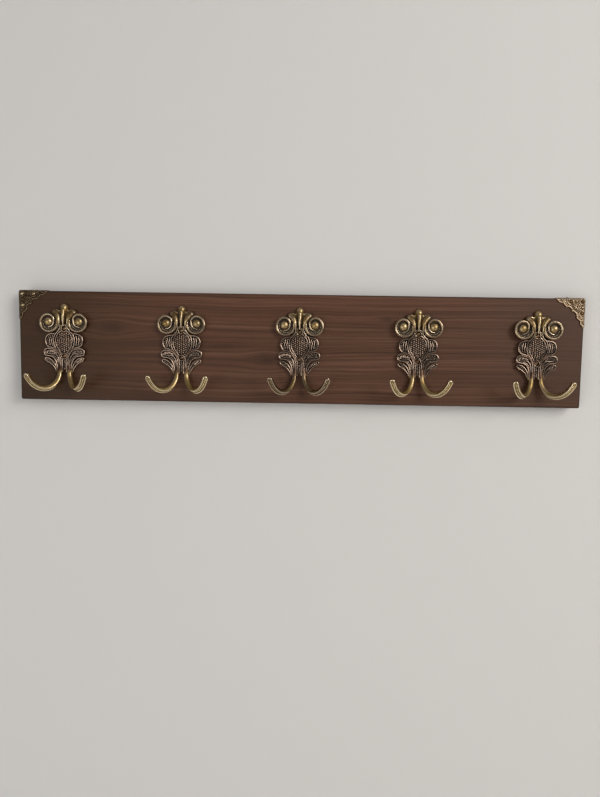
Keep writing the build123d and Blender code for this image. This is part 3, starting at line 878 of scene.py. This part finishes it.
def kept_gilding(m):
    """How much of the gilding is left: less on the middle hook's prongs, and in places."""
    x, _, z = m.coordinates()
    beside = m.ramp(m.math("ABSOLUTE", x), *DULL_REACH)
    kept = m.math("MAXIMUM", beside, m.ramp(z, -0.02, -0.005, 0.3, 1.0))
    patchy = m.ramp(m.noise(m.position(), 8, 1.0), 0.3, 0.5, 0.6, 1.0)
    return m.times(m.times(m.attribute("gilt"), patchy), kept)


def antique_metal(name, body, bright, dirt, gilded_body=None, gilded_bright=None):
    """Plated metal, rubbed bright on its ridges, dark where dirt gathers, and golden where it is gilt."""
    m = Shader(name)
    fine = m.noise(m.position(), 900, 3.0, 0.6)
    patches = m.noise(m.position(), 90, 3.0, 0.55)
    wear = m.ramp(m.add(m.attribute("ridge"), m.swing(patches, 0.1)), *RUBBED)
    grime = m.ramp(m.add(m.attribute("recess"), m.swing(fine, 0.08)), *DIRTY)
    if gilded_body:
        gilt = kept_gilding(m)
        body = m.mix(gilt, body, gilded_body)
        bright = m.mix(gilt, bright, gilded_bright)
        grime = m.times(grime, m.ramp(gilt, 0, 1, 1.0, 0.8))
    colour = m.mix(grime, m.mix(wear, body, bright), dirt)
    roughness = m.add(m.ramp(wear, 0, 1, 0.4, 0.18), m.times(grime, 0.25))
    roughness = m.add(roughness, m.swing(fine, 0.12))
    metallic = m.ramp(grime, 0, 1, 1.0, 0.25)
    normal = m.bump(fine, 0.00012, 0.35)
    normal = m.bump(patches, 0.0006, 0.25, normal)
    return m.finish(colour, roughness, normal, metallic)


def plain_metal(name, light, dark, roughness):
    """Plated sheet or turned metal with faint blotches and scratches."""
    m = Shader(name)
    blotch = m.noise(m.position(), 260, 4.0, 0.6)
    scratches = m.noise(m.position((1, 1, 0.15)), 1400, 2.0, 0.5)
    colour = m.mix(m.ramp(blotch, 0.35, 0.65), dark, light)
    scratched = m.ramp(scratches, 0.3, 0.7, roughness - 0.07, roughness + 0.07)
    roughness = m.add(scratched, m.times(blotch, 0.08))
    return m.finish(colour, roughness, m.bump(scratches, 0.00005, 0.4), 1.0)


# ---------------------------------------------------------------- pieces


def cast_hooks(material):
    """One casting at each CAD hook's place."""
    mesh = hook_mesh()
    mesh.materials.clear()
    mesh.materials.append(material)
    for node in HOOKS:
        low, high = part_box(node)
        piece = bpy.data.objects.new(f"{node}_casting", mesh)
        bpy.context.scene.collection.objects.link(piece)
        piece.location.x = (low[0] + high[0]) / 2
        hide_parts(node)
        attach(piece, "root")


def finish_nodes(material, *names):
    """Gives CAD nodes a material."""
    for name in names:
        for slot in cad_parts[name].material_slots:
            slot.material = material


# ---------------------------------------------------------------- camera, room and light

CAMERA_PLACE = (0.0101, -0.6812, 0.0009)
CAMERA_TILT = (85.25, -0.91, 0.83)  # degrees
LENS = 27.1

WALL_Y = 0.0006
WALL_TOP = 2.5
FLOOR_Z = -0.9
ROOM_REACH = 3
OPENING_INSET = 0.002  # how far the board's edges hide the wall round the opening behind it

# Name, place, aim, size, power and colour
LIGHTS = (
    ("window", (1.7, -1.9, 0.8), (0, 0, -0.1), (1.1, 1.4), 37, (1.0, 0.985, 0.96)),
    ("fill", (-1.2, -2.0, -0.5), (0, 0, -0.3), (1.6, 1.2), 15, (0.97, 0.985, 1.0)),
    ("behind", (0.6, 2.2, 1.2), (0, 0, 0), (1.5, 1.5), 30, (1, 1, 1)),
)
SURROUNDINGS = (0.92, 0.94, 0.96, 1)
SURROUNDINGS_BELOW = 0.08  # strength towards the floor
SURROUNDINGS_ABOVE = 0.36


def look():
    """The camera: a little right of the middle, tipped down slightly."""
    camera = bpy.data.objects.new("camera", bpy.data.cameras.new("camera"))
    bpy.context.scene.collection.objects.link(camera)
    camera.data.lens = LENS
    camera.data.clip_start = 0.01
    camera.location = CAMERA_PLACE
    camera.rotation_euler = [math.radians(angle) for angle in CAMERA_TILT]
    bpy.context.scene.camera = camera
    bpy.context.scene.view_settings.view_transform = "Standard"


def panel(name, corners, faces, material):
    """A flat stage piece."""
    mesh = bpy.data.meshes.new(name)
    mesh.from_pydata(corners, [], faces)
    mesh.materials.append(material)
    made = bpy.data.objects.new(name, mesh)
    bpy.context.scene.collection.objects.link(made)


def matt_paint(name, colour, roughness):
    """A plain painted surface."""
    paint = Shader(name)
    paint.surface.inputs["Base Color"].default_value = colour
    paint.surface.inputs["Roughness"].default_value = roughness
    return paint


def wall():
    """A pale wall that can't be seen from behind, open where the board covers it."""
    paint = matt_paint("pale_wall", (0.72, 0.695, 0.665, 1), 0.9)
    clear = paint.node("ShaderNodeBsdfTransparent")
    switch = paint.node("ShaderNodeMixShader")
    paint.link(paint.node("ShaderNodeNewGeometry").outputs["Backfacing"], switch.inputs[0])
    paint.link(paint.surface.outputs[0], switch.inputs[1])
    paint.link(clear.outputs[0], switch.inputs[2])
    paint.link(switch.outputs[0], paint.nodes["Material Output"].inputs["Surface"])
    open_x = BOARD_HIGH[0] * MM - OPENING_INSET
    open_z = BOARD_HIGH[2] * MM - OPENING_INSET
    outer = [(-ROOM_REACH, FLOOR_Z), (ROOM_REACH, FLOOR_Z), (ROOM_REACH, WALL_TOP), (-ROOM_REACH, WALL_TOP)]
    inner = [(-open_x, -open_z), (open_x, -open_z), (open_x, open_z), (-open_x, open_z)]
    corners = [(x, WALL_Y, z) for x, z in [*outer, *inner]]
    around = [(k, (k + 1) % 4, 4 + (k + 1) % 4, 4 + k) for k in range(4)]
    panel("wall", corners, around, paint.material)


def floor():
    """A pale floor, below the camera's view."""
    paint = matt_paint("pale_floor", (0.62, 0.60, 0.57, 1), 0.8)
    front, back = -4, 3
    corners = [(-ROOM_REACH, front), (ROOM_REACH, front), (ROOM_REACH, back), (-ROOM_REACH, back)]
    panel("floor", [(x, y, FLOOR_Z) for x, y in corners], [(0, 1, 2, 3)], paint.material)


def area_light(name, place, aim, size, power, colour):
    """A soft light pointed at a place."""
    data = bpy.data.lights.new(name, "AREA")
    data.shape = "RECTANGLE"
    data.size, data.size_y = size
    data.energy = power
    data.color = colour
    lamp = bpy.data.objects.new(name, data)
    bpy.context.scene.collection.objects.link(lamp)
    lamp.location = place
    direction = Vector(aim) - Vector(place)
    lamp.rotation_euler = direction.to_track_quat("-Z", "Y").to_euler()


def surroundings():
    """A grey studio all round, dimmer towards the floor."""
    world = bpy.data.worlds.new("studio")
    world.use_nodes = True
    nodes = world.node_tree.nodes
    links = world.node_tree.links
    parts = nodes.new("ShaderNodeSeparateXYZ")
    links.new(nodes.new("ShaderNodeTexCoord").outputs["Generated"], parts.inputs[0])
    strength = nodes.new("ShaderNodeMapRange")
    strength.inputs["From Min"].default_value = -0.6
    strength.inputs["From Max"].default_value = 0.8
    strength.inputs["To Min"].default_value = SURROUNDINGS_BELOW
    strength.inputs["To Max"].default_value = SURROUNDINGS_ABOVE
    links.new(parts.outputs[2], strength.inputs["Value"])
    links.new(strength.outputs[0], nodes["Background"].inputs["Strength"])
    nodes["Background"].inputs["Color"].default_value = SURROUNDINGS
    bpy.context.scene.world = world


look()
wall()
floor()
for light in LIGHTS:
    area_light(*light)
surroundings()

brass = antique_metal(
    "antique_brass",
    body=rgb(72, 51, 38),
    bright=rgb(164, 142, 124),
    dirt=rgb(34, 23, 17),
    gilded_body=rgb(154, 125, 74),
    gilded_bright=rgb(250, 232, 194),
)
# Both plates are the same bronze: the left one is painted darker, which is painted shade, and the right one
# lighter, which is painted light.
plate_bronze = {
    "left": antique_metal("bronze_painted_shade", rgb(58, 45, 32), rgb(112, 94, 72), rgb(36, 27, 19)),
    "right": antique_metal("bronze_painted_light", rgb(98, 78, 58), rgb(172, 150, 124), rgb(50, 37, 27)),
}
cast_hooks(brass)
corner_plates(plate_bronze)
finish_nodes(stained_pine(), "board")
finish_nodes(plain_metal("bronzed_screw", rgb(150, 122, 96), rgb(98, 76, 56), 0.34), *SCREWS)
# The nails are all the same metal: the left ones are painted brighter, which is a painted highlight, and the
# right ones darker, which is painted shade.
nail_metal = {
    "left": plain_metal("nail_painted_highlight", rgb(206, 188, 150), rgb(150, 128, 92), 0.22),
    "right": plain_metal("nail_painted_shade", rgb(112, 84, 56), rgb(70, 50, 34), 0.3),
}
zinc = plain_metal("zinc_plate", rgb(190, 193, 196), rgb(150, 154, 160), 0.32)
for side in SIDES:
    finish_nodes(nail_metal[side], *(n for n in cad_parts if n.startswith(f"{side}_plate_")))
    finish_nodes(zinc, *(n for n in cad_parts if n.startswith((f"{side}_hanger", f"{side}_keyhole"))))
